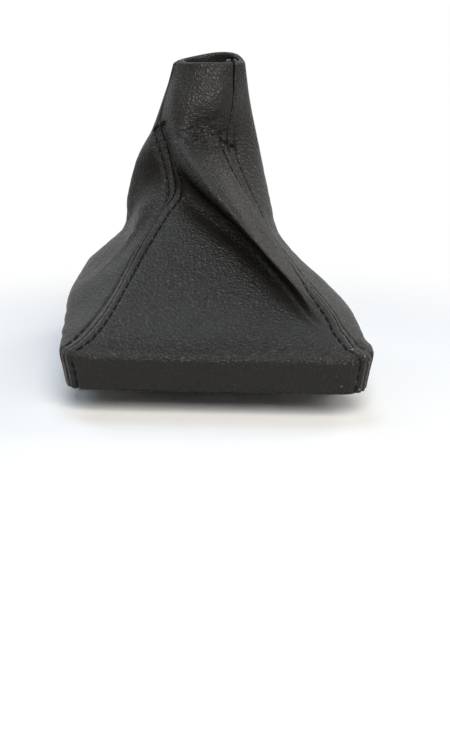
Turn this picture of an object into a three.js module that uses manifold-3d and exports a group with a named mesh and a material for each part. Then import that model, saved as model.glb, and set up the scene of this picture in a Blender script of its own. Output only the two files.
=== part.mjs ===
// Gear lever gaiter: a leather sleeve of two panels on a moulded frame with four snap hooks.
// Millimetres, +Z up. The wide front rail faces -Y and +X is to the right of it.
// The origin is on the frame's seating face, at the middle of the front rail.
import * as THREE from 'three';
import Module from 'manifold-3d';

// Frame, seen from above: the outer edge of its seating face, corners not yet rounded.
const frontWidth = 112.5;
const leftLength = 124;
const leftSplay = THREE.MathUtils.degToRad(4.3);
const rightLength = 142.6;
const rightTaper = THREE.MathUtils.degToRad(15);
const cornerRadius = { frontLeft: 10, frontRight: 10, rearRight: 27, rearLeft: 19 };
const cornerSteps = 6;
const sideSteps = { front: 12, right: 12, left: 11 };
const rearSteps = 5;
const besideArc = 0.7;

// Frame section.
const frameHeight = 12;
const railWidth = 4.5;
const seatBevel = 0.5;
const wallLean = 2;
const innerStep = 0.8;
const innerStepHeights = [4, 8];
const innerStepRise = 0.5;
const topEdgeBevel = 0.4;
const recessLength = 17;
const recessDepth = 1;
const recessRamp = 1.5;

// Snap hooks: how far along each side they stand, from the front corner.
const hookPlaces = {
  snap_right_front: { side: 'right', along: 37.5 },
  snap_right_rear: { side: 'right', along: 113 },
  snap_left_front: { side: 'left', along: 36 },
  snap_left_rear: { side: 'left', along: 97 },
};
const hookWidth = 7.8;
const hookDrop = 11.5;
const hookLegThickness = 1.8;
const hookLegInset = 1.9;
const hookReach = 4;
const hookCatchDepth = 4.2;
const hookNose = 1.2;
const hookPocketWidth = 3;
const hookPocketWall = 1.2;
const hookRoot = 2;

// Leather.
const clearance = 0.3;
const leather = 1.3;
const allowance = 8;
const seamBulk = 0.9;
const sleeveHeight = 113.5;
const hemDepth = 12;
const slitWidth = 1.6;
const hemRamp = 0.06;

// Neck of the sleeve, seen from above.
const neckX = -9;
const neckY = 80.6;
const neckWidth = 29.5;
const neckDepth = 27;

// Thread.
const threadWidth = 0.8;
const threadThickness = 0.5;
const threadClearance = 0.45;
const stitchOffset = 3.5;
const tackLength = 8;
const tackWidth = 1.4;
const tackSteps = 3;

const wasm = await Module();
wasm.setup();

const material = {
  leather: new THREE.MeshStandardMaterial({ color: 0x2b2a2a, roughness: 0.55, metalness: 0 }),
  plastic: new THREE.MeshStandardMaterial({ color: 0xece6dc, roughness: 0.45, metalness: 0 }),
  thread: new THREE.MeshStandardMaterial({ color: 0x111112, roughness: 0.7, metalness: 0 }),
};

// Plan of the frame

const originBack = railWidth / 2;
const frontLeft = new THREE.Vector2(-frontWidth / 2, -originBack);
const frontRight = new THREE.Vector2(frontWidth / 2, -originBack);
const rearLeft = new THREE.Vector2(-Math.sin(leftSplay), Math.cos(leftSplay))
  .multiplyScalar(leftLength).add(frontLeft);
const rearRight = new THREE.Vector2(-Math.sin(rightTaper), Math.cos(rightTaper))
  .multiplyScalar(rightLength).add(frontRight);

const corners = [
  { name: 'frontLeft', at: frontLeft, before: rearLeft, after: frontRight, side: 'front' },
  { name: 'frontRight', at: frontRight, before: frontLeft, after: rearRight, side: 'right' },
  { name: 'rearRight', at: rearRight, before: frontRight, after: rearLeft, side: 'rear' },
  { name: 'rearLeft', at: rearLeft, before: rearRight, after: frontLeft, side: 'left' },
];

function cornerArc(corner) {
  const radius = cornerRadius[corner.name];
  const back = corner.before.clone().sub(corner.at).normalize();
  const on = corner.after.clone().sub(corner.at).normalize();
  const half = Math.acos(THREE.MathUtils.clamp(back.dot(on), -1, 1)) / 2;
  const centre = back.clone().add(on).normalize()
    .multiplyScalar(radius / Math.sin(half)).add(corner.at);
  return { radius, centre, turn: Math.PI - 2 * half };
}

// The closed outline, grown outwards. Each point keeps the corner or side that it is on.
function outline(grow) {
  const points = [];
  const arcs = corners.map(cornerArc);
  corners.forEach((corner, c) => {
    const arc = arcs[c];
    const back = corner.before.clone().sub(corner.at).normalize();
    const normalIn = new THREE.Vector2(-back.y, back.x);
    const first = Math.atan2(normalIn.y, normalIn.x);
    for (let i = 0; i <= cornerSteps; i += 1) {
      const angle = first + (arc.turn * i) / cornerSteps;
      points.push(new THREE.Vector2(Math.cos(angle), Math.sin(angle))
        .multiplyScalar(arc.radius + grow).add(arc.centre));
    }
    const next = corners[(c + 1) % corners.length];
    const nextArc = arcs[(c + 1) % corners.length];
    const along = next.at.clone().sub(corner.at).normalize();
    const outward = new THREE.Vector2(along.y, -along.x);
    const start = arc.centre.clone().addScaledVector(outward, arc.radius + grow);
    const end = nextArc.centre.clone().addScaledVector(outward, nextArc.radius + grow);
    if (corner.side === 'rear') {
      points.push(...rearSide(start, end, along, outward));
    } else {
      points.push(start.clone().addScaledVector(along, besideArc));
      for (let i = 1; i < sideSteps[corner.side]; i += 1) {
        points.push(start.clone().lerp(end, i / sideSteps[corner.side]));
      }
      points.push(end.clone().addScaledVector(along, -besideArc));
    }
  });
  return points;
}

// The rear rail has a shallow locating recess at its middle.
function rearSide(start, end, along, outward) {
  const middle = start.clone().lerp(end, 0.5);
  const points = [];
  const half = recessLength / 2;
  for (let i = 0; i < rearSteps; i += 1) {
    const at = THREE.MathUtils.mapLinear(i, 0, rearSteps - 1, -half - recessRamp, half + recessRamp);
    const inside = i > 0 && i < rearSteps - 1;
    const place = inside ? THREE.MathUtils.mapLinear(i, 1, rearSteps - 2, -half, half) : at;
    points.push(middle.clone().addScaledVector(along, place)
      .addScaledVector(outward, inside ? -recessDepth : 0));
  }
  return points;
}

// Meshes and solids

function solidFrom(positions, indices) {
  return new wasm.Manifold(new wasm.Mesh({
    numProp: 3,
    vertProperties: new Float32Array(positions),
    triVerts: new Uint32Array(indices),
  }));
}

function geometryFrom(solid) {
  const mesh = solid.getMesh();
  const geometry = new THREE.BufferGeometry();
  geometry.setAttribute('position', new THREE.BufferAttribute(mesh.vertProperties, 3));
  geometry.setIndex(new THREE.BufferAttribute(mesh.triVerts, 1));
  return geometry;
}

// A closed skin over a grid of points: rows of equal length. Both ways may close on themselves.
function skin(rows) {
  const count = rows[0].length;
  const positions = rows.flat().flatMap((point) => point.toArray());
  const indices = [];
  for (let r = 0; r < rows.length; r += 1) {
    for (let c = 0; c < count; c += 1) {
      const a = r * count + c;
      const b = r * count + ((c + 1) % count);
      const d = ((r + 1) % rows.length) * count + c;
      const e = ((r + 1) % rows.length) * count + ((c + 1) % count);
      indices.push(a, b, e, a, e, d);
    }
  }
  return { positions, indices };
}

// Frame

// The frame's section, from the outer edge of the seating face round to the inner one.
// Each point is how far outwards it lies and how high.
function frameSection() {
  const lean = (z) => (wallLean * z) / frameHeight;
  const section = [
    [-seatBevel, 0],
    [lean(seatBevel), seatBevel],
    [lean(frameHeight - topEdgeBevel), frameHeight - topEdgeBevel],
    [lean(frameHeight) - topEdgeBevel, frameHeight],
  ];
  const inner = [];
  let edge = -railWidth;
  inner.push([edge + seatBevel, 0], [edge, seatBevel]);
  for (const height of innerStepHeights) {
    inner.push([edge, height]);
    edge += innerStep;
    inner.push([edge, height + innerStepRise]);
  }
  inner.push([edge, frameHeight - topEdgeBevel], [edge + topEdgeBevel, frameHeight]);
  return section.concat(inner.reverse());
}

function sideFrame(side) {
  const corner = corners.find((item) => item.side === side);
  const next = corners[(corners.indexOf(corner) + 1) % corners.length];
  const along = next.at.clone().sub(corner.at).normalize();
  return { corner, next, along, outward: new THREE.Vector2(along.y, -along.x) };
}

// One snap hook: a leg that goes down from the rail and a barb that points up and outwards.
function hookSolid(place) {
  const { corner, next, along, outward } = sideFrame(place.side);
  const profile = new THREE.Shape();
  const legOuter = -hookLegInset;
  const legInner = legOuter - hookLegThickness;
  profile.moveTo(legInner, hookRoot);
  profile.lineTo(legInner, -hookDrop);
  profile.lineTo(legOuter, -hookDrop);
  profile.lineTo(hookReach, -hookCatchDepth - hookNose);
  profile.lineTo(hookReach, -hookCatchDepth);
  profile.lineTo(legOuter, -hookCatchDepth);
  profile.lineTo(legOuter, hookRoot);
  const body = extruded(profile, hookWidth);
  const pocket = new THREE.Shape();
  pocket.moveTo(legOuter + hookPocketWall, 0);
  pocket.lineTo(legOuter + hookPocketWall, -hookDrop);
  pocket.lineTo(hookReach + hookPocketWall, -hookDrop);
  pocket.lineTo(hookReach + hookPocketWall, 0);
  const solid = body.subtract(extruded(pocket, hookPocketWidth));
  // A point along the side, measured from its front corner.
  const start = place.side === 'left' ? next.at : corner.at;
  const way = place.side === 'left' ? along.clone().negate() : along;
  const at = start.clone().addScaledVector(way, place.along);
  const matrix = new THREE.Matrix4().makeBasis(
    new THREE.Vector3(outward.x, outward.y, 0),
    new THREE.Vector3(0, 0, 1),
    new THREE.Vector3(outward.y, -outward.x, 0),
  ).setPosition(at.x, at.y, 0);
  return solid.transform(matrix.elements);
}

// A flat shape made solid, centred on its own plane.
function extruded(shape, depth) {
  const points = shape.getPoints(8);
  if (THREE.ShapeUtils.isClockWise(points)) points.reverse();
  const faces = THREE.ShapeUtils.triangulateShape(points, []);
  const count = points.length;
  const positions = [];
  for (const z of [-depth / 2, depth / 2]) {
    for (const point of points) positions.push(point.x, point.y, z);
  }
  const indices = [];
  for (const [a, b, c] of faces) {
    indices.push(a, c, b, count + a, count + b, count + c);
  }
  for (let i = 0; i < count; i += 1) {
    const j = (i + 1) % count;
    indices.push(i, j, count + j, i, count + j, count + i);
  }
  return solidFrom(positions, indices);
}

function frameGeometry() {
  const rows = frameSection().map(([out, z]) => outline(out)
    .map((point) => new THREE.Vector3(point.x, point.y, z)));
  const { positions, indices } = skin(rows);
  let solid = solidFrom(positions, indices);
  for (const place of Object.values(hookPlaces)) solid = solid.add(hookSolid(place));
  return geometryFrom(solid);
}

// Sleeve

const skirtTop = frameHeight + clearance + leather;

// The outline's points on each side, and the first of them, from one corner's middle to the next.
const sideColumns = {
  front: cornerSteps + sideSteps.front + 2,
  right: cornerSteps + sideSteps.right + 2,
  rear: cornerSteps + 1 + rearSteps,
  left: cornerSteps + sideSteps.left + 2,
};
const sideStarts = { front: cornerSteps / 2 };
sideStarts.right = sideStarts.front + sideColumns.front;
sideStarts.rear = sideStarts.right + sideColumns.right;
sideStarts.left = sideStarts.rear + sideColumns.rear;

// How far the leather's flesh side stands out from the frame's outer edge at a height.
function skirtGrow(z) {
  return (wallLean * z) / frameHeight + clearance;
}

// Guide lines of the sleeve's grain side, in order round it from the left seam.
// foot: the side of the frame that it starts on and its share of the way along that side.
// neck: its angle round the neck in degrees. drawn: [station, x, y, z], where a station is a
// twelfth of the way up the leather. The drawn line is then fitted to the frame and the neck.
const stations = 12;
const guides = {
  leftSeam: { foot: ['front', 0], neck: 201, drawn: [
    [0, -58, -1, 13.6], [1, -51, 6, 19], [2, -43.5, 21, 28], [3, -36, 43.5, 44], [4, -28, 57.5, 56],
    [5, -23, 62.5, 62], [6, -23.5, 66.5, 67], [7, -24.5, 68.5, 72], [8, -25.5, 70.5, 76],
    [9, -27.5, 73.5, 82], [10, -30, 76, 88], [11, -27, 77.5, 101], [12, -23, 75.5, 113.5]] },
  frontLeft: { foot: ['front', 0.12], neck: 217, drawn: [
    [0, -45, -4, 13.6], [1, -43, 5, 18], [2, -38.5, 17.5, 28], [3, -32, 41, 42],
    [4, -23.5, 56.5, 56], [5, -19, 62, 61], [6, -19, 62, 67], [7, -19, 59, 73], [8, -20, 58.5, 78],
    [9, -21, 60.5, 82], [10, -22, 64.5, 87], [11, -22.5, 69.5, 98], [12, -21, 72.5, 113.5]] },
  frontQuarter: { foot: ['front', 0.25], neck: 235, drawn: [
    [0, -29, -4, 13.6], [1, -29, 6, 18], [2, -29.5, 20, 28], [3, -26.5, 38.5, 41],
    [4, -18.5, 54, 54], [5, -13, 60, 59], [6, -11.5, 56, 63], [7, -9.5, 49.5, 67],
    [8, -10.5, 50.5, 72], [9, -14.5, 57, 79], [10, -18, 63, 86], [11, -17.5, 68, 98],
    [12, -17.5, 69.5, 113.5]] },
  frontMiddle: { foot: ['front', 0.5], neck: 262, drawn: [
    [0, 0, -4, 13.6], [1, -1, 6, 18], [2, -2.5, 19.5, 27], [3, 0, 33, 36], [4, 3, 43, 43],
    [5, 7, 49.5, 46], [6, 7, 45.5, 50], [7, 5.5, 39.5, 54], [8, 3, 42, 60], [9, -2.5, 55, 72],
    [10, -10, 65.5, 83], [11, -9.5, 67.5, 97], [12, -11, 67, 113.5]] },
  frontThreeQuarter: { foot: ['front', 0.74], neck: 290, drawn: [
    [0, 28, -4, 13.6], [1, 28, 5, 18], [2, 26.5, 14, 22], [3, 25.5, 21.5, 26], [4, 26, 27.5, 28],
    [5, 27, 30.5, 30], [6, 27, 27.5, 33], [7, 25.5, 23.5, 37], [8, 19, 31, 44], [9, 5.5, 53.5, 64],
    [10, -4.5, 67.5, 82], [11, -2.5, 69, 96], [12, -4, 68, 113.5]] },
  frontRight: { foot: ['front', 0.88], neck: 305, drawn: [
    [0, 44, -4, 13.6], [1, 43, 2, 17], [2, 42, 4.5, 18], [3, 41.5, 6.5, 18.5], [4, 40.5, 9, 19.5],
    [5, 40, 11.5, 21], [6, 38.5, 15, 24], [7, 35.5, 20, 29], [8, 26, 33.5, 41], [9, 7.5, 57, 64.5],
    [10, -2.5, 69, 82], [11, -0.5, 71, 95], [12, -0.5, 69.5, 113.5]] },
  rightSeam: { foot: ['right', 0], neck: 318, drawn: [
    [0, 57, -2, 13.6], [1, 52, 0, 16], [2, 50.5, 2.5, 17.5], [3, 49, 5.5, 19], [4, 47, 8, 20.5],
    [5, 45.5, 12, 23], [6, 42.5, 17, 26], [7, 38.5, 22, 30], [8, 25.5, 39.5, 41], [9, 9, 59.5, 62],
    [10, -0.5, 70, 81], [11, 1.5, 72, 95], [12, 2, 71.5, 113.5]] },
  rightFront: { foot: ['right', 0.25], neck: 340, drawn: [
    [0, 51, 30, 13.6], [1, 52, 30, 17], [3, 51, 32.5, 20], [5, 46, 39, 25], [7, 38.5, 47.5, 31],
    [8, 28, 58.5, 38], [9, 16, 70, 57], [10, 6.5, 75.5, 80], [11, 5, 77.5, 96], [12, 5, 76, 113.5]] },
  rightMiddle: { foot: ['right', 0.51], neck: 362, drawn: [
    [0, 41.5, 65, 13.6], [1, 42.5, 65, 17], [3, 40.5, 68.5, 22], [5, 33.5, 73.5, 28],
    [7, 24.5, 78.5, 34], [8, 19, 81, 43], [9, 15, 83, 59], [10, 11, 84.5, 80], [11, 7.5, 84.5, 97],
    [12, 5.5, 81, 113.5]] },
  rearRight: { foot: ['right', 0.97], neck: 405, drawn: [
    [0, 24, 127, 13.6], [1, 26, 125, 17], [3, 18, 122, 25], [5, 13, 113, 33], [7, 9.5, 103.5, 42],
    [8, 10.5, 103.5, 53], [9, 9.5, 101.5, 67], [10, 6, 98.5, 84], [11, 3, 95, 98],
    [12, 1.5, 90, 113.5]] },
  rearMiddle: { foot: ['rear', 0.5], neck: 455, drawn: [
    [0, -23.5, 134, 13.6], [1, -23.5, 134.5, 18], [3, -30, 127.5, 28], [5, -25.5, 115.5, 36],
    [7, -20.5, 106, 45], [8, -18.5, 106, 56], [9, -15.5, 104, 69], [10, -12.5, 100.5, 84],
    [11, -11, 95.5, 98], [12, -10, 94, 113.5]] },
  rearLeft: { foot: ['left', 0.03], neck: 500, drawn: [
    [0, -65, 116, 13.6], [1, -66, 115, 16], [3, -64, 110, 22], [5, -59, 102, 29], [7, -49, 96, 37],
    [8, -42, 92.5, 47], [9, -37, 93, 63], [10, -30, 92, 82], [11, -24, 90.5, 98],
    [12, -20.5, 89.5, 113.5]] },
  leftMiddle: { foot: ['left', 0.37], neck: 532, drawn: [
    [0, -65, 75, 13.6], [1, -65.5, 75, 16.5], [3, -64.5, 76, 23], [5, -60, 79, 31],
    [6, -53.5, 84, 37], [7, -47, 86, 43], [8, -45, 81, 56], [9, -41.5, 81.5, 71],
    [10, -32.5, 84, 87], [11, -27, 84.5, 101], [12, -23.5, 82.5, 113.5]] },
  leftFront: { foot: ['left', 0.71], neck: 545, drawn: [
    [0, -62.5, 35, 13.6], [1, -63.5, 36, 16], [3, -61.5, 46, 23], [4, -56.5, 51, 28],
    [5, -47, 58.5, 38], [6, -39, 66.5, 50], [7, -35.5, 71, 60], [8, -35.5, 73, 66],
    [9, -35, 75, 76], [10, -32, 79, 88], [11, -27, 80.5, 101], [12, -23.5, 79.5, 113.5]] },
  leftSeamSide: { foot: ['left', 0.88], neck: 553, drawn: [
    [0, -61, 16, 13.6], [1, -60, 15, 16], [2, -54, 25, 21], [3, -47.5, 41, 32], [4, -37.5, 55.5, 45],
    [5, -32, 63, 55], [6, -30.5, 66, 61], [7, -30.5, 69, 67], [8, -30.5, 71, 72], [9, -32, 74, 80],
    [10, -31, 77, 88], [11, -27, 79, 101], [12, -23.5, 77.5, 113.5]] },
};

// A place on the top of the skirt, by its share of the way from one corner's middle to the next.
function sidePoint(side, share) {
  const start = sideStarts[side];
  const points = outline(skirtGrow(frameHeight) + leather)
    .map((point) => new THREE.Vector3(point.x, point.y, skirtTop));
  const line = byLength([...points, ...points].slice(start, start + sideColumns[side] + 1));
  return line.at(share * line.total);
}

function neckPoint(degrees) {
  const angle = THREE.MathUtils.degToRad(degrees);
  return new THREE.Vector3(
    neckX + (neckWidth / 2) * Math.cos(angle),
    neckY + (neckDepth / 2) * Math.sin(angle),
    sleeveHeight,
  );
}

// A guide line, read by its station.
function guideLine(guide) {
  const foot = sidePoint(...guide.foot);
  const neck = neckPoint(guide.neck);
  const drawn = guide.drawn.map(([, x, y, z]) => new THREE.Vector3(x, y, z));
  const at = guide.drawn.map(([station]) => station);
  const footMove = foot.sub(drawn[0]);
  const neckMove = neck.sub(drawn[drawn.length - 1]);
  const points = drawn.map((point, i) => point.clone()
    .add(footMove.clone().lerp(neckMove, at[i] / stations)));
  const curve = new THREE.CatmullRomCurve3(points, false, 'centripetal');
  return (station) => {
    let i = 0;
    while (i < at.length - 2 && station > at[i + 1]) i += 1;
    const share = (station - at[i]) / (at[i + 1] - at[i]);
    return curve.getPoint((i + share) / (at.length - 1));
  };
}

// A line of points, read by its length from the start.
function byLength(points) {
  const lengths = [0];
  for (let i = 1; i < points.length; i += 1) {
    lengths.push(lengths[i - 1] + points[i].distanceTo(points[i - 1]));
  }
  return {
    lengths,
    total: lengths[lengths.length - 1],
    at(length) {
      let i = 0;
      while (i < points.length - 2 && length > lengths[i + 1]) i += 1;
      const share = (length - lengths[i]) / (lengths[i + 1] - lengths[i]);
      return points[i].clone().lerp(points[i + 1], share);
    },
  };
}

const skirtHeights = [0, skirtTop / 2, skirtTop];
const lastSkirtRow = skirtHeights.length - 1;
const footFade = 3;
const ringSamples = 240;
const stationFineness = 0.01;

// The station where a guide line is as far below its top as the hem is deep.
function hemStart(guide) {
  const line = guideLine(guide);
  const top = line(stations);
  let station = stations;
  while (line(station).distanceTo(top) < hemDepth) station -= stationFineness;
  return station;
}

const hemStation = hemStart(guides.frontMiddle);
const rowStations = [0.5, 1, 1.5, 2, 2.5, 3, 3.5, 4, 4.5, 5, 5.5, 6, 6.5, 7, 7.5, 8, 8.5, 9, 9.5,
  10, 10.5, hemStation - hemRamp, hemStation, 11.6, stations];
const tackRow = lastSkirtRow + 1 + rowStations.indexOf(10);
const seamZone = cornerSteps / 2 + 1;
const leftSeamColumn = sideStarts.front;
const rightSeamColumn = sideStarts.right;

// The skirt of a panel at a height: its flesh side and its grain side, which is thicker by seams.
function skirtRow(z, firstColumn, lastColumn) {
  const flesh = outline(skirtGrow(Math.min(z, frameHeight)));
  const pick = (points, height) => {
    const picked = [];
    for (let i = firstColumn; i <= lastColumn; i += 1) {
      const point = points[i % points.length];
      picked.push(new THREE.Vector3(point.x, point.y, height));
    }
    return picked;
  };
  const grain = pick(outline(skirtGrow(Math.min(z, frameHeight)) + leather), z);
  const bulky = pick(outline(skirtGrow(Math.min(z, frameHeight)) + leather + seamBulk), z);
  const last = grain.length - 1;
  const bulk = (i) => Math.max(0, 1 - Math.min(i, last - i) / (seamZone - 1));
  return {
    grain: grain.map((point, i) => point.lerp(bulky[i], bulk(i))),
    flesh: pick(flesh, Math.min(z, frameHeight + clearance)),
  };
}

// Where the columns of a row stand along it: spread as on the skirt, but near a seam they
// keep the same distances from it all the way up, so that the seam allowance is even.
function columnLengths(skirt, total, evenly) {
  const last = skirt.lengths.length - 1;
  const stretch = total / skirt.total;
  const zoneEnd = seamZone - 1;
  const nearSeam = (i) => (i < zoneEnd ? (allowance * i) / zoneEnd : allowance);
  const inner = total - 2 * allowance - 2 * besideArc;
  const from = skirt.lengths[seamZone];
  const span = skirt.lengths[last - seamZone] - from;
  return skirt.lengths.map((length, i) => {
    let even;
    if (i < seamZone) even = nearSeam(i);
    else if (i > last - seamZone) even = total - nearSeam(last - i);
    else even = allowance + besideArc + (inner * (length - from)) / span;
    return THREE.MathUtils.lerp(length * stretch, even, evenly);
  });
}

// The grain side of one panel, as rows of points from its first seam to its second.
function panelRows(names, firstColumn, lastColumn) {
  const skirts = skirtHeights.map((z) => skirtRow(z, firstColumn, lastColumn));
  const rows = skirts.map((skirt) => skirt.grain);
  const top = rows[lastSkirtRow];
  const skirt = byLength(top);
  const lines = names.map((name) => guideLine(guides[name]));
  const ring = (station) => byLength(
    new THREE.CatmullRomCurve3(lines.map((line) => line(station)), false, 'centripetal')
      .getPoints(ringSamples),
  );
  const base = ring(0);
  const baseLengths = columnLengths(skirt, base.total, 0);
  for (const station of rowStations) {
    const round = ring(station);
    const fade = 1 - THREE.MathUtils.smoothstep(station, 0, footFade);
    const lengths = columnLengths(skirt, round.total, 1 - fade);
    rows.push(top.map((point, i) => {
      const foot = point.clone().sub(base.at(baseLengths[i]));
      return round.at(lengths[i]).addScaledVector(foot, fade);
    }));
  }
  return { rows, flesh: skirts.map((item) => item.flesh) };
}

// The direction that the surface faces at a point of the rows.
function facing(rows, r, c) {
  const last = rows[r].length - 1;
  const across = rows[r][Math.min(c + 1, last)].clone().sub(rows[r][Math.max(c - 1, 0)]);
  const up = rows[Math.min(r + 1, rows.length - 1)][c].clone().sub(rows[Math.max(r - 1, 0)][c]);
  return across.cross(up).normalize();
}

// Leather is double where an edge is turned in: beside the seams and at the hem.
function thickness(r, c, last) {
  const aboveSkirt = r > lastSkirtRow + 1;
  const besideSeam = Math.min(c, last - c) < seamZone;
  const hem = r >= lastSkirtRow + 1 + rowStations.indexOf(hemStation);
  return (aboveSkirt && besideSeam) || hem ? 2 * leather : leather;
}

// The way that the leather's thickness goes at a point. It turns to the seam's own way beside it.
function thicknessWay(panel, seamNormals, r, c) {
  const last = panel.rows[r].length - 1;
  const fromSeam = (Math.min(c, last - c) / seamZone) ** 2;
  const way = facing(panel.rows, r, c);
  const seamWay = seamNormals[c < last / 2 ? 0 : 1][r];
  return fromSeam < 1 ? seamWay.clone().lerp(way, fromSeam).normalize() : way;
}

function panelGeometry(panel, seamNormals) {
  const rings = panel.rows.map((row, r) => {
    const last = row.length - 1;
    const inner = row.map((point, c) => (r <= lastSkirtRow
      ? panel.flesh[r][c]
      : point.clone().addScaledVector(thicknessWay(panel, seamNormals, r, c),
        -thickness(r, c, last))));
    return row.concat(inner.reverse());
  });
  return tubeGeometry(rings);
}

// A skin over rings of points, with flat ends. Each ring is a strip there and back.
function tubeGeometry(rings) {
  const count = rings[0].length;
  const width = count / 2;
  const indices = [];
  for (let r = 0; r + 1 < rings.length; r += 1) {
    for (let c = 0; c < count; c += 1) {
      const a = r * count + c;
      const b = r * count + ((c + 1) % count);
      // Both edges of a strip are split the same way, so that two edges face each other evenly.
      if (c === count - 1) indices.push(a, b, a + count, b, b + count, a + count);
      else indices.push(a, b, b + count, a, b + count, a + count);
    }
  }
  const end = (rings.length - 1) * count;
  for (let c = 0; c + 1 < width; c += 1) {
    const across = count - 1 - c;
    indices.push(c, across, c + 1, c + 1, across, across - 1);
    indices.push(end + c, end + c + 1, end + across);
    indices.push(end + c + 1, end + across - 1, end + across);
  }
  const geometry = new THREE.BufferGeometry();
  const positions = rings.flat().flatMap((point) => point.toArray());
  geometry.setAttribute('position', new THREE.Float32BufferAttribute(positions, 3));
  geometry.setIndex(indices);
  return geometry;
}

const names = Object.keys(guides);
const rightSeamGuide = names.indexOf('rightSeam');
const front = panelRows(names.slice(0, rightSeamGuide + 1), leftSeamColumn, rightSeamColumn);
const wrap = panelRows(
  names.slice(rightSeamGuide).concat(names[0]),
  rightSeamColumn,
  outline(0).length + leftSeamColumn,
);
const seams = {
  left: { before: wrap, after: front },
  right: { before: front, after: wrap },
};
for (const seam of Object.values(seams)) {
  const lastBefore = seam.before.rows[0].length - 1;
  seam.normals = seam.before.rows.map((row, r) => facing(seam.before.rows, r, lastBefore)
    .add(facing(seam.after.rows, r, 0)).normalize());
  seam.line = seam.after.rows.map((row) => row[0].clone());
  seam.across = seam.line.map((point, r) => {
    const next = seam.line[Math.min(r + 1, seam.line.length - 1)];
    const previous = seam.line[Math.max(r - 1, 0)];
    return next.clone().sub(previous).cross(seam.normals[r]).normalize();
  });
}

// The edges stand apart by the clearance, and by more where the slit opens above the bar tack.
for (const seam of Object.values(seams)) {
  const lastBefore = seam.before.rows[0].length - 1;
  const rowCount = seam.line.length;
  seam.across.forEach((across, r) => {
    const open = Math.max(0, (r - tackRow) / (rowCount - 1 - tackRow));
    const half = THREE.MathUtils.lerp(clearance, slitWidth, open) / 2;
    seam.after.rows[r][0].addScaledVector(across, half);
    seam.before.rows[r][lastBefore].addScaledVector(across, -half);
    if (r <= lastSkirtRow) {
      seam.after.flesh[r][0].addScaledVector(across, half);
      seam.before.flesh[r][lastBefore].addScaledVector(across, -half);
    }
  });
}

// Thread

// A flat ribbon of thread through places on the leather, each with the way up and the way across.
function ribbon(places, width) {
  const rings = places.map(({ point, normal, across }) => {
    const low = point.clone().addScaledVector(normal, threadClearance);
    const high = low.clone().addScaledVector(normal, threadThickness);
    return [
      high.clone().addScaledVector(across, -width / 2),
      high.clone().addScaledVector(across, width / 2),
      low.clone().addScaledVector(across, width / 2),
      low.clone().addScaledVector(across, -width / 2),
    ];
  });
  return tubeGeometry(rings);
}

// A place on the grain side, at a distance from the seam where the panel starts or ends.
function placeBeside(panel, r, distance, atStart) {
  const row = atStart ? panel.rows[r] : [...panel.rows[r]].reverse();
  const line = byLength(row);
  let c = 0;
  while (line.lengths[c + 1] < distance) c += 1;
  const across = row[c + 1].clone().sub(row[c]).normalize().multiplyScalar(atStart ? 1 : -1);
  const column = atStart ? c : row.length - 1 - c;
  return { point: line.at(distance), normal: facing(panel.rows, r, column), across };
}

// A topstitch row keeps its distance from the seam, from the skirt up to the bar tack.
function stitchRow(panel, atStart) {
  const places = [];
  for (let r = 0; r <= tackRow; r += 1) {
    places.push(placeBeside(panel, r, stitchOffset, atStart));
  }
  const end = places.pop();
  const before = places[places.length - 1];
  const room = tackWidth / 2 + 2 * clearance;
  end.point.lerp(before.point, room / end.point.distanceTo(before.point));
  places.push(end);
  return ribbon(places, threadWidth);
}

// A bar tack lies across the seam where the slit begins.
function barTack(seam) {
  const up = seam.line[tackRow + 1].clone().sub(seam.line[tackRow - 1]).normalize();
  const places = [];
  for (let i = -tackSteps; i <= tackSteps; i += 1) {
    const distance = (Math.abs(i) * tackLength) / (2 * tackSteps);
    const place = placeBeside(i > 0 ? seam.before : seam.after, tackRow, distance, i <= 0);
    places.push({ point: place.point, normal: place.normal, across: up });
  }
  return ribbon(places, tackWidth);
}

const group = new THREE.Group();

function addPiece(name, geometry, finish) {
  const mesh = new THREE.Mesh(geometry, finish);
  mesh.name = name;
  group.add(mesh);
}

addPiece('frame', frameGeometry(), material.plastic);
addPiece('front_panel', panelGeometry(front, [seams.left.normals, seams.right.normals]), material.leather);
addPiece('wrap_panel', panelGeometry(wrap, [seams.right.normals, seams.left.normals]), material.leather);
addPiece('left_stitch_row_front', stitchRow(front, true), material.thread);
addPiece('left_stitch_row_side', stitchRow(wrap, false), material.thread);
addPiece('right_stitch_row_front', stitchRow(front, false), material.thread);
addPiece('right_stitch_row_side', stitchRow(wrap, true), material.thread);
addPiece('left_bar_tack', barTack(seams.left), material.thread);
addPiece('right_bar_tack', barTack(seams.right), material.thread);

export default group;
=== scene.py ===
"""Gear lever gaiter: two panels of leathercloth, sewn into a sleeve on a plastic snap-in frame.

Metres, +Z up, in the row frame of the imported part: the wide front rail faces -Y.
"""

import math

import bmesh
import bpy
import numpy as np
from mathutils import Matrix, Vector, noise


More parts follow.
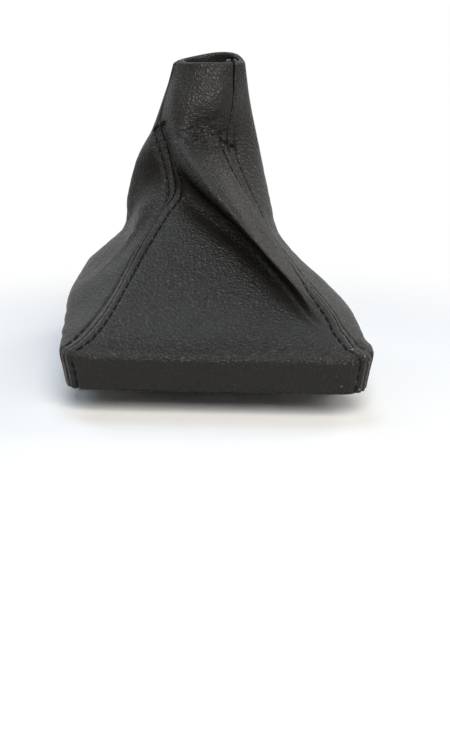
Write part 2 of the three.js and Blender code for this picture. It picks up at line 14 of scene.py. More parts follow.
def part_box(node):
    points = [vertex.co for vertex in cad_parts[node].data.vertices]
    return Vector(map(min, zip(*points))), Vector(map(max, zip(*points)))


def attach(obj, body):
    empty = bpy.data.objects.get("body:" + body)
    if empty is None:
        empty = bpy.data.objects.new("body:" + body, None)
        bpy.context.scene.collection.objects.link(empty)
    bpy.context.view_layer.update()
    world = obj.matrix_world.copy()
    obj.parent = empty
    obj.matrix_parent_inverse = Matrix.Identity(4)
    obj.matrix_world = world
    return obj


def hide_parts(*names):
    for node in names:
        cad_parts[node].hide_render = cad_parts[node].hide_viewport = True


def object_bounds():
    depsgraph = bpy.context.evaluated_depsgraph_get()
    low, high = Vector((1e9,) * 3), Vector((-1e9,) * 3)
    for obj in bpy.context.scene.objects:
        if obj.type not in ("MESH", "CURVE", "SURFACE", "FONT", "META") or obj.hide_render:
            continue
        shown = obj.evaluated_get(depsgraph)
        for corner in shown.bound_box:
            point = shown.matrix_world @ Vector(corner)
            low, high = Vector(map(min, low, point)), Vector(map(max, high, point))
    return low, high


MM = 0.001

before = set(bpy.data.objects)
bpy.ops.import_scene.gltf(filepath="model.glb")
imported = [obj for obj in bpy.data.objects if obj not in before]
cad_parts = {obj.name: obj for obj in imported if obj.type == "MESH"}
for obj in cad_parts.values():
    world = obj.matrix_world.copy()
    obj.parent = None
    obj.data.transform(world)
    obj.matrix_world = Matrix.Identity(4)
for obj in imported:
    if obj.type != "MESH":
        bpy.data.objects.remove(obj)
cad_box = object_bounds()

# Camera, as the front view was taken
LOOKED_AT = Vector((0.0026, -0.0035, 0.0084))
CAMERA_DISTANCE = 0.400
CAMERA_ELEVATION = math.radians(19)
CAMERA_YAW = math.radians(3.5)
CAMERA_LENS = 87.04

# The floor is paper up to this far from its middle, and plain white from twice as far on.
FLOOR_PAPER = 0.13
FLOOR_SIZE = 4
FLOOR_GAP = 0.1 * MM

# Leathercloth. Each of its layers has this much room, and is a little thinner.
LEATHER = 1.1 * MM
LEATHER_SOLID = 1.0 * MM
ALLOWANCE = 8 * MM
SKIRT_ALLOWANCE = 3 * MM
HEM = 12 * MM
EDGE_ROUND = 1.0 * MM
FRONT_STEP = 0.8 * MM
WRAP_STEP = 1.2 * MM
SKIRT_ROWS = 3
SLIT_OPEN = 0.5 * MM
SLIT_LENGTH = 27 * MM
# Between these heights the allowances widen from their width behind the skirt to their full one.
ALLOWANCE_WIDENS = (14 * MM, 24 * MM)
# The turned edges get a painted highlight, a pale line beside the seam in patches, which fades
# between these heights.
SEAM_HIGHLIGHT_LINE = 0.75 * MM
SEAM_HIGHLIGHT_WIDTH = 0.3 * MM
SEAM_HIGHLIGHT_FADES = (30 * MM, 55 * MM)

# Grain of the leathercloth
GRAIN_SIZE = 1.65 * MM
GRAIN_DEPTH = 0.3 * MM
GRAIN_WANDER = 1.3 * MM
GRAIN_WANDER_SIZE = 1.7 * MM
LEATHER_GLOSS = 0.23
# Creases of crumpled leather are long across the sleeve and narrow up it.
CREASE_SCALE = (1 / (7 * MM), 1 / (7 * MM), 1 / (2.2 * MM))
CREASE_WIDTH = 0.05

# Thread. The size of a tack's stitch is its length, width and height.
STITCH_PITCH = 4.0 * MM
STITCH_LENGTH = 3.3 * MM
STITCH_WIDTH = 0.85 * MM
STITCH_HEIGHT = 0.6 * MM
STITCH_OFFSET = 3.5 * MM
STITCH_PROUD = 0.15 * MM
# On the other side the stitches lie deeper, and below this height the frame hides them.
STITCH_PROUD_BEHIND = 0.05 * MM
FRAME_HIDES = 14 * MM
TACK_RIBS = 15
TACK_LENGTH = 8 * MM
TACK_STITCH = (1.7 * MM, 0.62 * MM, 0.8 * MM)
TACK_PROUD = 0.25 * MM
LEFT_TACK_SLANT = -0.2
RIGHT_TACK_SLANT = 0.5
BEAD_SIDES = 8
BEAD_RINGS = 6

# Frame
MOULDING_ROUND = 0.2 * MM
FRAME_MIDDLE = Vector((0, 0.06, 0))

# Points nearer than this are one point.
MERGE = 0.01 * MM
# Faces of the frame that meet at less than this are one face.
FLAT_ANGLE = math.radians(0.5)
# Its edges are rounded from this angle on, and what is left from the next on is shaded sharp.
SHARP_ANGLE = math.radians(24)
SHADED_SHARP = math.radians(40)
# A panel's raw edge has a corner where it turns by more than this.
CORNER_ANGLE = math.radians(60)
# A face is level when its way out is this upright.
LEVEL = 0.99


def set_up_camera():
    """The camera looks at the gaiter from the front and a little above."""
    data = bpy.data.cameras.new("camera")
    data.sensor_fit = "HORIZONTAL"
    data.sensor_width = 36
    data.lens = CAMERA_LENS
    data.clip_start = 0.01
    data.clip_end = 20
    camera = bpy.data.objects.new("camera", data)
    bpy.context.scene.collection.objects.link(camera)
    back = Vector((
        math.sin(CAMERA_YAW) * math.cos(CAMERA_ELEVATION),
        -math.cos(CAMERA_YAW) * math.cos(CAMERA_ELEVATION),
        math.sin(CAMERA_ELEVATION),
    ))
    camera.location = LOOKED_AT + back * CAMERA_DISTANCE
    camera.rotation_euler = (-back).to_track_quat("-Z", "Y").to_euler()
    bpy.context.scene.camera = camera


set_up_camera()


# Materials

# Colours. A material that has two tones wanders between them.
LEATHER_TONES = ((0.0085, 0.0076, 0.006, 1), (0.0135, 0.0124, 0.0104, 1))
GROOVE_TONE = (0.0025, 0.0022, 0.0017, 1)
# Painted highlight on the turned edges beside the seams.
SEAM_HIGHLIGHT_TONE = (0.09, 0.086, 0.08, 1)
LINT_TONE = (0.42, 0.42, 0.40, 1)
# Painted shade: the matt black that the hollows of the folds are mixed with.
PAINTED_SHADE_TONE = (0.005, 0.0035, 0.0022, 1)
FLEECE_TONES = ((0.010, 0.010, 0.011, 1), (0.026, 0.026, 0.028, 1))
FLECK_TONE = (0.12, 0.12, 0.12, 1)
EDGE_TONES = ((0.008, 0.008, 0.008, 1), (0.035, 0.034, 0.033, 1))
THREAD_TONES = ((0.003, 0.003, 0.0033, 1), (0.010, 0.010, 0.011, 1))
PLASTIC_TONES = ((0.80, 0.785, 0.75, 1), (0.87, 0.86, 0.84, 1))
HANDLED_TONE = (0.62, 0.59, 0.54, 1)
PAPER_TONE = (0.92, 0.92, 0.92, 1)
WHITE = (1, 1, 1, 1)


class Wire:
    """An output of a node. Sums and products of wires add Math nodes."""

    def __init__(self, recipe, socket):
        self.recipe = recipe
        self.socket = socket

    def sum_with(self, operation, first, second):
        """A Math node of two values, at least one of them a wire."""
        return self.recipe.node("ShaderNodeMath", {"operation": operation}, {0: first, 1: second})

    def __add__(self, other):
        return self.sum_with("ADD", self, other)

    def __radd__(self, other):
        return self.sum_with("ADD", other, self)

    def __sub__(self, other):
        return self.sum_with("SUBTRACT", self, other)

    def __rsub__(self, other):
        return self.sum_with("SUBTRACT", other, self)

    def __mul__(self, other):
        return self.sum_with("MULTIPLY", self, other)


class Recipe:
    """The nodes that a material or the world is made of."""

    def __init__(self, owner):
        self.owner = owner
        owner.use_nodes = True
        self.tree = owner.node_tree
        self.tree.nodes.clear()

    def node(self, kind, settings=None, sockets=None, output=0):
        """Adds a node with its settings and the values or wires of its sockets. Gives an output."""
        made = self.tree.nodes.new(kind)
        for name, value in (settings or {}).items():
            setattr(made, name, value)
        for name, value in (sockets or {}).items():
            if isinstance(value, Wire):
                self.tree.links.new(value.socket, made.inputs[name])
            else:
                made.inputs[name].default_value = value
        return Wire(self, made.outputs[output]) if made.outputs else None

    def place(self):
        """Where a point is on the object."""
        return self.node("ShaderNodeTexCoord", output="Object")

    def stretched(self, scale):
        """Where a point is, with each axis scaled."""
        return self.node("ShaderNodeMapping", sockets={"Vector": self.place(), "Scale": scale})

    def mark(self, name):
        """What the mesh carries under a name."""
        return self.node("ShaderNodeAttribute", {"attribute_name": name}, output="Fac")

    def ray(self, kind):
        """1 for rays of a kind, such as Is Camera Ray."""
        return self.node("ShaderNodeLightPath", output=kind)

    def larger(self, first, second):
        """The larger of two values."""
        return self.node("ShaderNodeMath", {"operation": "MAXIMUM"}, {0: first, 1: second})

    def cloud(self, size, detail=3, vector=None, roughness=0.5):
        """Soft noise with spots of a size."""
        return self.node(
            "ShaderNodeTexNoise",
            sockets={
                "Vector": vector or self.place(),
                "Scale": 1 / size,
                "Detail": detail,
                "Roughness": roughness,
            },
        )

    def step(self, value, low, high):
        """0 up to low, 1 from high on, and smooth between."""
        return self.node(
            "ShaderNodeMapRange",
            {"interpolation_type": "SMOOTHSTEP"},
            {"Value": value, "From Min": low, "From Max": high},
        )

    def blended(self, share, first, second):
        """One colour turning into another."""
        return self.node(
            "ShaderNodeMix",
            {"data_type": "RGBA"},
            {"Factor": share, 6: first, 7: second},
            output=2,
        )

    def bump(self, height, depth):
        """The ways out of a face whose hills are as high as a depth."""
        sockets = {"Height": height, "Distance": depth, "Strength": 1.0}
        return self.node("ShaderNodeBump", sockets=sockets)

    def mixed(self, share, first, second):
        """One shader turning into another."""
        return self.node("ShaderNodeMixShader", sockets={"Fac": share, 1: first, 2: second})

    def ended(self, surface, output="ShaderNodeOutputMaterial"):
        """Ends in a shader. Gives what the nodes belong to."""
        self.node(output, sockets={"Surface": surface})
        return self.owner

    def done(self, sockets):
        """Ends in one Principled shader. Gives the material."""
        return self.ended(self.node("ShaderNodeBsdfPrincipled", sockets=sockets))


def material_recipe(name):
    """An empty recipe for a new material."""
    return Recipe(bpy.data.materials.new(name))


def pebble_cells(recipe):
    """How far a point is from the edge of its pebble, with outlines that wander."""
    wander = recipe.node(
        "ShaderNodeTexNoise",
        sockets={"Vector": recipe.place(), "Scale": 1 / GRAIN_WANDER_SIZE, "Detail": 1.0},
        output="Color",
    )
    shaken = recipe.node(
        "ShaderNodeVectorMath",
        {"operation": "MULTIPLY_ADD"},
        {0: wander, 1: (GRAIN_WANDER, GRAIN_WANDER, GRAIN_WANDER), 2: recipe.place()},
    )
    return recipe.node(
        "ShaderNodeTexVoronoi",
        {"feature": "DISTANCE_TO_EDGE"},
        {"Vector": shaken, "Scale": 1 / GRAIN_SIZE},
    )


def crease_lines(recipe):
    """Thin lines, where flat hills of noise cross their middle height."""
    hills = recipe.cloud(1.0, detail=2, vector=recipe.stretched(CREASE_SCALE))
    off_middle = recipe.node("ShaderNodeMath", {"operation": "ABSOLUTE"}, {0: hills - 0.5})
    return 1 - recipe.step(off_middle, 0.0, CREASE_WIDTH)


def grained_leathercloth():
    """Black vinyl-faced cloth with a rounded pebble grain, which shows most where it is slack."""
    recipe = material_recipe("grained leathercloth")
    cells = pebble_cells(recipe)
    slack = recipe.mark("slack")
    pebble = recipe.step(cells, -0.12, 0.42)
    groove = (1 - recipe.step(cells, 0.0, 0.18)) * (0.3 + slack * 0.5)
    crease = crease_lines(recipe) * recipe.mark("crumple")
    fine = recipe.cloud(0.5 * MM, detail=2)
    soft = recipe.cloud(9 * MM, detail=3)
    patchiness = recipe.cloud(1.1 * MM, detail=2, roughness=0.7)
    # Painted highlight: a pale line beside the seams, broken into patches by noise.
    seam_highlight_patches = recipe.mark("seam_highlight") * recipe.step(patchiness, 0.3, 0.6)
    specks = recipe.step(recipe.cloud(0.9 * MM, detail=1), 0.735, 0.76) * recipe.mark("lint")
    toned = recipe.blended(soft, *LEATHER_TONES)
    lined = recipe.blended(groove * 0.8 + crease * 0.2, toned, GROOVE_TONE)
    seam_highlighted = recipe.blended(seam_highlight_patches, lined, SEAM_HIGHLIGHT_TONE)
    height = pebble * (0.4 + slack * 0.6) + fine * 0.06 - crease * 1.5
    face = recipe.node("ShaderNodeBsdfPrincipled", sockets={
        "Base Color": recipe.blended(specks, seam_highlighted, LINT_TONE),
        "Roughness": 0.34 + groove * 0.25 + soft * 0.08,
        "Specular IOR Level": LEATHER_GLOSS,
        "Normal": recipe.bump(height, GRAIN_DEPTH),
    })
    # The hollows of the folds are mixed with a matt black diffuse shader, a painted shade, as lamps
    # alone leave them too light.
    painted_shade_shader = recipe.node("ShaderNodeBsdfDiffuse", sockets={"Color": PAINTED_SHADE_TONE})
    return recipe.ended(recipe.mixed(recipe.mark("painted_shade_share"), face, painted_shade_shader))


def fleece():
    """The brushed backing on the leathercloth's other side."""
    recipe = material_recipe("brushed fleece backing")
    fluff = recipe.cloud(0.5 * MM, detail=5, roughness=0.7)
    tufts = recipe.cloud(2.5 * MM, detail=4)
    lint = recipe.step(recipe.cloud(0.9 * MM, detail=1), 0.74, 0.8)
    nap = recipe.blended(recipe.step(tufts, 0.3, 0.7), *FLEECE_TONES)
    return recipe.done({
        "Base Color": recipe.blended(lint * 0.5, nap, FLECK_TONE),
        "Roughness": 0.95,
        "Specular IOR Level": 0.15,
        "Sheen Weight": 0.35,
        "Sheen Roughness": 0.6,
        "Normal": recipe.bump(fluff * 0.6 + tufts, 0.5 * MM),
    })


def cut_edge():
    """The raw edge of the leathercloth, where face and backing meet."""
    recipe = material_recipe("cut edge of the leathercloth")
    fibres = recipe.cloud(0.3 * MM, detail=4)
    return recipe.done({
        "Base Color": recipe.blended(fibres, *EDGE_TONES),
        "Roughness": 0.9,
        "Normal": recipe.bump(fibres, 0.15 * MM),
    })


def twisted_thread():
    """Black twisted thread."""
    recipe = material_recipe("twisted black thread")
    twist = recipe.node(
        "ShaderNodeTexWave",
        {"wave_type": "BANDS", "bands_direction": "DIAGONAL"},
        {"Vector": recipe.place(), "Scale": 260.0, "Distortion": 0.6},
    )
    ply = recipe.cloud(0.3 * MM, detail=2)
    return recipe.done({
        "Base Color": recipe.blended(twist, *THREAD_TONES),
        "Roughness": 0.75 + ply * 0.15,
        "Specular IOR Level": 0.12,
        "Normal": recipe.bump(twist * 0.7 + ply * 0.3, 0.12 * MM),
    })


def moulded_plastic():
    """Natural white plastic, a little yellow in its depth, with faint flow marks."""
    recipe = material_recipe("natural white plastic")
    flow = recipe.cloud(14 * MM, detail=3, vector=recipe.stretched((1, 1, 4)))
    specks = recipe.cloud(0.6 * MM, detail=3)
    handled = recipe.step(recipe.cloud(5 * MM, detail=4), 0.52, 0.75)
    body = recipe.blended(flow, *PLASTIC_TONES)
    return recipe.done({
        "Base Color": recipe.blended(handled * 0.25, body, HANDLED_TONE),
        "Roughness": 0.36 + flow * 0.12 + handled * 0.06,
        "Subsurface Weight": 0.15,
        "Subsurface Radius": (0.004, 0.003, 0.002),
        "Normal": recipe.bump(specks * 0.3 + flow * 0.7, 0.06 * MM),
    })


def floor_paper():
    """White paper that keeps the gaiter's shadow. Further off it shines plain white."""
    recipe = material_recipe("white floor")
    away = recipe.node(
        "ShaderNodeVectorMath", {"operation": "LENGTH"}, {0: recipe.place()}, output="Value"
    )
    seen = recipe.ray("Is Camera Ray") + recipe.ray("Is Glossy Ray")
    paper = recipe.node("ShaderNodeBsdfDiffuse", sockets={"Color": PAPER_TONE})
    white = recipe.node("ShaderNodeEmission", sockets={"Color": WHITE, "Strength": 1.0})
    share = seen * recipe.step(away, FLOOR_PAPER, 2 * FLOOR_PAPER)
    return recipe.ended(recipe.mixed(share, paper, white))


leather_finish = grained_leathercloth()
fleece_finish = fleece()
edge_finish = cut_edge()
thread_finish = twisted_thread()
plastic_finish = moulded_plastic()


# Panels


def rim_in_order(bm):
    """The points of the loop round a panel's raw bottom edge, in order."""

    def level(face):
        """The flat underside, at the seat."""
        return abs(face.normal.z) > LEVEL and all(abs(v.co.z) < MERGE for v in face.verts)

    neighbours = {}
    for edge in bm.edges:
        if sum(level(face) for face in edge.link_faces) == 1:
            for vert in edge.verts:
                neighbours.setdefault(vert, []).append(edge.other_vert(vert))
    loop = [next(iter(neighbours))]
    while len(loop) < len(neighbours):
        ways = [vert for vert in neighbours[loop[-1]] if len(loop) < 2 or vert != loop[-2]]
        loop.append(ways[0])
    return loop


def grain_rows(node):
    """The grain side of a CAD panel as rows of points, from its raw edge up to its hem."""
    bm = bmesh.new()
    bm.from_mesh(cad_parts[node].data)
    bmesh.ops.remove_doubles(bm, verts=bm.verts, dist=MERGE)
    bm.normal_update()
    rim = rim_in_order(bm)
    count = len(rim)
    corners = []
    for i, vert in enumerate(rim):
        before = vert.co - rim[i - 1].co
        after = rim[(i + 1) % count].co - vert.co
        if before.angle(after) > CORNER_ANGLE:
            corners.append(i)
    runs = []
    for i, corner in enumerate(corners):
        end = corners[(i + 1) % len(corners)]
        run = [rim[(corner + k) % count] for k in range((end - corner) % count + 1)]
        runs.append(run)
    row = max(runs, key=lambda run: sum((a.co - b.co).length for a, b in zip(run, run[1:])))
    turn = sum((a.co - FRAME_MIDDLE).cross(b.co - FRAME_MIDDLE).z for a, b in zip(row, row[1:]))
    if turn < 0:
        row.reverse()
    used = {face for vert in rim for face in vert.link_faces if face.normal.z < -LEVEL}
    rows = [row]
    while True:
        above = []
        for a, b in zip(row, row[1:]):
            face = next(face for face in bm.edges.get((a, b)).link_faces if face not in used)
            used.add(face)
            above.append(next(vert for vert in face.verts if vert not in (a, b)))
        faces = bm.edges.get((row[0], above[0])).link_faces
        face = next(face for face in faces if face not in used)
        above.insert(0, next(vert for vert in face.verts if vert not in (row[0], above[0])))
        if sum(vert.co.z for vert in above) < sum(vert.co.z for vert in row):
            break
        for a, b in zip(above, above[1:]):
            faces = bm.edges.get((a, b)).link_faces
            used.update(face for face in faces if any(vert in row for vert in face.verts))
        row = above
        rows.append(row)
    points = np.array([[tuple(vert.co) for vert in line] for line in rows])
    bm.free()
    return points


def spline_weights(places, count, rounded):
    """How much each of count control points weighs at each place, for a curve that goes through
    them, or for one that rounds them off."""
    weights = np.zeros((len(places), count))
    for i, place in enumerate(places):
        start = min(int(place), count - 2)
        t = place - start
        if rounded:
            parts = ((1 - t) ** 3 / 6, (3 * t**3 - 6 * t**2 + 4) / 6,
                     (-3 * t**3 + 3 * t**2 + 3 * t + 1) / 6, t**3 / 6)
        else:
            parts = ((-t + 2 * t**2 - t**3) / 2, (2 - 5 * t**2 + 3 * t**3) / 2,
                     (t + 4 * t**2 - 3 * t**3) / 2, (t**3 - t**2) / 2)
        for k, part in enumerate(parts):
            at = start - 1 + k
            if at < 0:
                weights[i, 0] += 2 * part
                weights[i, 1] -= part
            elif at >= count:
                weights[i, count - 1] += 2 * part
                weights[i, count - 2] -= part
            else:
                weights[i, at] += part
    return weights


def even_places(points, axis, step, fixed_start=(), fixed_end=()):
    """Places along the rows or columns of a grid that stand a step apart on average. The fixed
    ones are distances from the start and the end."""
    gaps = np.linalg.norm(np.diff(points, axis=axis), axis=2).mean(axis=1 - axis)
    lengths = np.concatenate([[0], np.cumsum(gaps)])
    first = max(fixed_start, default=0)
    last = lengths[-1] - max(fixed_end, default=0)
    middle = np.linspace(first, last, max(2, round((last - first) / step) + 1))
    wanted = sorted({0, *fixed_start, *middle, *(lengths[-1] - d for d in fixed_end), lengths[-1]})
    return np.interp(wanted, lengths, np.arange(len(lengths)))


def surface_normals(points):
    """The way out of a grid of points, at each point."""
    across = np.gradient(points, axis=1)
    up = np.gradient(points, axis=0)
    way = np.cross(across, up)
    return way / np.linalg.norm(way, axis=2, keepdims=True)


def smoothed(points, strength, rounds):
    """A grid of points with its hills and hollows eased, as much as strength says at each."""
    for _ in range(rounds):
        mean = points.copy()
        beside = points[1:-1, :-2] + points[1:-1, 2:]
        above_and_below = points[:-2, 1:-1] + points[2:, 1:-1]
        mean[1:-1, 1:-1] = (above_and_below + beside) / 4
        points = points + (mean - points) * strength[..., None]
    return points


def ease(value, low, high):
    """0 up to low, 1 from high on, and smooth between."""
    share = np.clip((value - low) / (high - low), 0, 1)
    return share * share * (3 - 2 * share)


def noise_at(points, size, seed=0.0):
    """Soft noise from about -1 to 1 at each point. Its hills have a size, or one for each axis."""
    scaled = points / np.array(size)
    flat = scaled.reshape(-1, 3) + seed
    return np.array([noise.noise(Vector(p)) for p in flat]).reshape(points.shape[:2])


def near(points, centre, radius):
    """1 at a centre, falling to about 0 at three times a radius. Both may differ along the axes."""
    apart = (points - np.array(centre) * MM) / (np.array(radius) * MM)
    return np.exp(-(apart**2).sum(axis=2) / 2)


def fading(distance, width):
    """1 at no distance, falling to 0 about two widths away."""
    return np.exp(-((distance / width) ** 2))


# Columns and rows of the panels' grids stand at these distances from the seams and from the top.
SEAM_PLACES = [d * MM for d in (0.06, 0.16, 0.32, 0.7, 1.4, 2.3, 3.0, 3.5, 4.0, 4.8, 5.8, 6.9, 8.0)]
TOP_PLACES = [d * MM for d in (0.06, 0.16, 0.32, 0.7, 1.4)]


def roundness(distance):
    """How far the edge of a fold has turned, from 0 on its face to 1 at its outermost point."""
    inside = np.clip(1 - np.asarray(distance) / EDGE_ROUND, 0, 1)
    return 1 - np.sqrt(1 - inside**2)


class Panel:
    """A panel's grain side as a fine grid, with the ways out of it and the distances on it."""

    def __init__(self, node, step):
        control = grain_rows(node)
        rows = even_places(control, 0, step, fixed_end=TOP_PLACES)
        columns = even_places(control, 1, step, SEAM_PLACES, SEAM_PLACES)
        grids = []
        for rounded in (False, True):
            up = spline_weights(rows, control.shape[0], rounded)
            along = spline_weights(columns, control.shape[1], rounded)
            grids.append(np.einsum("ri,cj,ijk->rck", up, along, control))
        above = ease(rows, SKIRT_ROWS - 1, SKIRT_ROWS + 2)[:, None, None]
        self.points = grids[0] * (1 - above) + grids[1] * above
        self.rows = rows
        self.measure()

    def measure(self):
        """Works out the distances along the rows and columns, and the ways out."""
        gaps = np.linalg.norm(np.diff(self.points, axis=1), axis=2)
        lengths = np.cumsum(gaps, axis=1)
        self.from_start = np.concatenate([np.zeros((len(gaps), 1)), lengths], axis=1)
        self.from_end = self.from_start[:, -1:] - self.from_start
        self.from_seam = np.minimum(self.from_start, self.from_end)
        gaps = np.linalg.norm(np.diff(self.points, axis=0), axis=2)
        heights = np.concatenate([np.zeros((1, gaps.shape[1])), np.cumsum(gaps, axis=0)])
        self.from_top = heights[-1:] - heights
        self.normals = surface_normals(self.points)

    def raise_by(self, height):
        """Moves each point out by a height."""
        self.points = self.points + self.normals * height[..., None]
        self.measure()

    def line(self, distance, at_start):
        """The points and ways out along the panel, at a distance from one of its seams."""
        measure = self.from_start if at_start else self.from_end
        line, ways = [], []
        for row, lengths, outs in zip(self.points, measure, self.normals):
            order = slice(None) if at_start else slice(None, None, -1)
            line.append([np.interp(distance, lengths[order], row[order, k]) for k in range(3)])
            ways.append([np.interp(distance, lengths[order], outs[order, k]) for k in range(3)])
        return np.array(line), np.array(ways)


def column(at_start, inward=0):
    """The place of a column of a panel, counted from one of its seams."""
    return inward if at_start else -1 - inward


def trimmed(panel, points, row_list, seam_count, narrow):
    """The turned columns drawn in to a narrow allowance, as far as narrow says at each point."""
    for at_start, side in ((True, slice(0, seam_count)), (False, slice(-seam_count, None))):
        inner = panel.line(SKIRT_ALLOWANCE, at_start)[0][row_list][:, None]
        share = narrow[:, side, None]
        points[:, side] = points[:, side] * (1 - share) + inner * share
    return points


def turned_in(panel, marks):
    """The panel's points with its seam edges and its hem turned in, and all that its mesh carries:
    the marks, the painted highlight beside the seams, and where lint clings."""
    rows, columns = panel.points.shape[:2]
    seam_count = len(SEAM_PLACES)
    turned_start = list(range(seam_count, 0, -1))
    turned_end = list(range(columns - 2, columns - 2 - seam_count, -1))
    column_list = np.array(turned_start + list(range(columns)) + turned_end)
    turned = np.array([1] * seam_count + [0] * columns + [1] * seam_count)[None, :]
    hem_rows = [r for r in range(rows) if panel.from_top[r].mean() < HEM]
    row_list = np.array(list(range(rows)) + hem_rows[-2::-1])
    flipped = np.array([0] * rows + [1] * (len(hem_rows) - 1))[:, None]

    pick = np.ix_(row_list, column_list)
    points, ways = panel.points[pick], panel.normals[pick]
    edge, top = panel.from_seam[pick], panel.from_top[pick]
    # The allowances are trimmed narrow behind the skirt, where the frame leaves them little room.
    narrow = (1 - ease(points[..., 2], *ALLOWANCE_WIDENS)) * (turned * (edge > SKIRT_ALLOWANCE))
    points = trimmed(panel, points, row_list, seam_count, narrow)

    half_turn = 0.5 * roundness(edge)
    side_turn = np.where(turned, 1 - half_turn, half_turn)
    depth = 2 * LEATHER * side_turn
    stack = 2 * LEATHER * (2 - ease(edge, ALLOWANCE, ALLOWANCE + 2 * MM))
    half_turn = 0.5 * roundness(top)
    top_turn = np.where(flipped, 1 - half_turn, half_turn)
    depth = depth * (1 - top_turn) + (stack - depth) * top_turn
    points = points - ways * depth[..., None]

    # The pale line beside each seam is a painted highlight of the turned edge, fading with height.
    low = 1 - ease(points[..., 2], *SEAM_HIGHLIGHT_FADES)
    outside = (1 - turned) * (1 - flipped)
    carried = {"seam_highlight": fading(edge - SEAM_HIGHLIGHT_LINE, SEAM_HIGHLIGHT_WIDTH) * low * (1 - turned)}
    for mark, values in marks.items():
        carried[mark] = values[pick] * outside
    carried["lint"] = near(points, *LINT) * outside
    return points, carried


def new_object(name, bm, *finishes):
    """An object in the scene, made of a bmesh, with smooth faces."""
    for face in bm.faces:
        face.smooth = True
    mesh = bpy.data.meshes.new(name)
    bm.to_mesh(mesh)
    bm.free()
    for finish in finishes:
        mesh.materials.append(finish)
    obj = bpy.data.objects.new(name, mesh)
    bpy.context.scene.collection.objects.link(obj)
    return obj


def cloth_object(name, panel, marks):
    """The panel as one sheet of leathercloth, with its thickness."""
    points, carried = turned_in(panel, marks)
    bm = bmesh.new()
    layers = {mark: bm.verts.layers.float.new(mark) for mark in carried}
    made = bmesh.ops.create_grid(
        bm, x_segments=points.shape[1] - 1, y_segments=points.shape[0] - 1, size=1
    )
    for vert, place in zip(made["verts"], points.reshape(-1, 3).tolist()):
        vert.co = place
    for mark, values in carried.items():
        layer = layers[mark]
        for vert, value in zip(made["verts"], values.ravel().tolist()):
            vert[layer] = value
    obj = new_object(name, bm, leather_finish, fleece_finish, edge_finish)
    body = obj.modifiers.new("thickness", "SOLIDIFY")
    body.thickness = LEATHER_SOLID
    body.offset = -1
    body.material_offset = 1
    body.material_offset_rim = 2
    return obj


# Forms of the sleeve that the sewn panels settle into. Places and sizes are in millimetres.

# Each swelling or dent: its middle, how far it spreads along the axes, and how far it comes out.
FRONT_SWELLS = [
    ((38, 14, 25), (6, 6, 4), 0.9),
    ((46, 6, 19), (6, 5, 3), 1.0),
    ((-9, 67, 99), (13, 8, 6), 1.8),
    ((-9, 66, 86), (13, 8, 3.5), -1.4),
]
WRAP_SWELLS = [
    ((-33, 65, 56), (7, 7, 5), 1.6),
    ((-36, 71, 67), (7, 8, 5), -1.4),
    ((-40, 74, 76), (8, 8, 5), 1.0),
    ((-62, 50, 24), (8, 25, 7), 1.6),
    ((-43, 74, 46), (6, 8, 4), -1.5),
    ((22, 66, 47), (5, 12, 6), -1.8),
    ((52, 18, 20), (7, 14, 6), 1.2),
    ((15, 76, 68), (5, 10, 12), 0.9),
]
# The fold crosses the front from below the neck to the right-hand corner: its crest, and the
# valley under it.
CREST = [(-22, 62, 84), (-15, 53, 73), (0, 42, 60), (20, 28, 41), (40, 12, 22), (53, 0, 14)]
VALLEY = [(-20, 63, 66), (-12, 58, 60), (6, 48, 46), (24, 32, 32), (39, 9, 20)]
CREST_WIDTH = 11
VALLEY_WIDTH = 5
VALLEY_DEPTH = 2.8
# Where the fold's round side hangs over to, and where the darkest painted shade lies from the
# valley.
CREST_PULL = (-0.3, -1.3, -0.2)
PULL_WIDTH = 6
DARKEST_SHADE_OFFSET = (0, -1.4, 1.2)
DARKEST_SHADE_WIDTH = 5.6
# The valley, the hanging crest and the painted shade set in between these heights.
VALLEY_GROWS = (26, 56)
PULL_GROWS = (32, 58)
PAINTED_SHADE_GROWS = (24, 44)
# How much painted shade the leathercloth is mixed with in the front's valley, and in the left
# hollow.
VALLEY_PAINTED_SHADE = 0.7
HOLLOW_PAINTED_SHADE = 0.6
# Taut grain on the crest, and the slack under it, reach this far from the crest's line.
TAUT_WIDTH = 8
SLACK_WIDTH = 5
# The fold and the heel's roundness set in between these distances from the seams.
FOLD_BEGINS = (1.5, 7)
HEEL_BEGINS = (3, 10)
# The front of the neck leans back. The lean sets in between two heights, and has ended at the
# second of two places on the way to the rear.
NECK_LEAN = 3.6
LEAN_GROWS = (92, 118)
LEAN_ENDS = (68, 84)
# The hem stands higher at the rear, and higher still to the right. The heel of the skirt swells.
REAR_BEGINS = (80, 93)
REAR_RISE = 0.8
REAR_RISE_DEPTH = 9
RIGHT_BEGINS = (-24, -2)
RIGHT_RISE = 2.4
HEEL_RISE = 0.5
# Seams on the skirt stand proud up to these heights, and a topstitch pulls its row in.
PROUD_ENDS = (13, 20)
PROUD_WIDTH = 5
PROUD = 0.5
STITCH_GROOVE = 0.8
STITCH_GROOVE_WIDTH = 0.5
# Beside the slits there are no grooves: they set in between these distances from the top.
GROOVE_BEGINS = (24, 30)
# How far from a seam both panels are moved, and turned, to meet there.
MEET_WIDTH = 6
TURN_WIDTH = 2.5

# Places on the sleeve: a middle, and how far the place spreads along the axes.
HEEL = ((0, -2.5, 15.2), (70, 5, 2.2))
HEEL_CREASES = ((0, -2, 16.5), (60, 6, 2.6))
NECK = ((-8, 65, 85), (13, 8, 4))
PRESSED_NECK = ((-6, 66, 87), (13, 9, 5))
BELLY = ((-5, 38, 41), (26, 18, 12))
RING = ((-8, 82, 83), (40, 40, 4))
FOOT = ((-5, 60, 16.5), (90, 90, 2.2))
SIDES = ((-5, 80, 45), (60, 60, 18))
LEFT_HOLLOW = ((-33, 69, 71), (5, 8, 6))
LINT = ((51, -2, 10), (7, 9, 8))

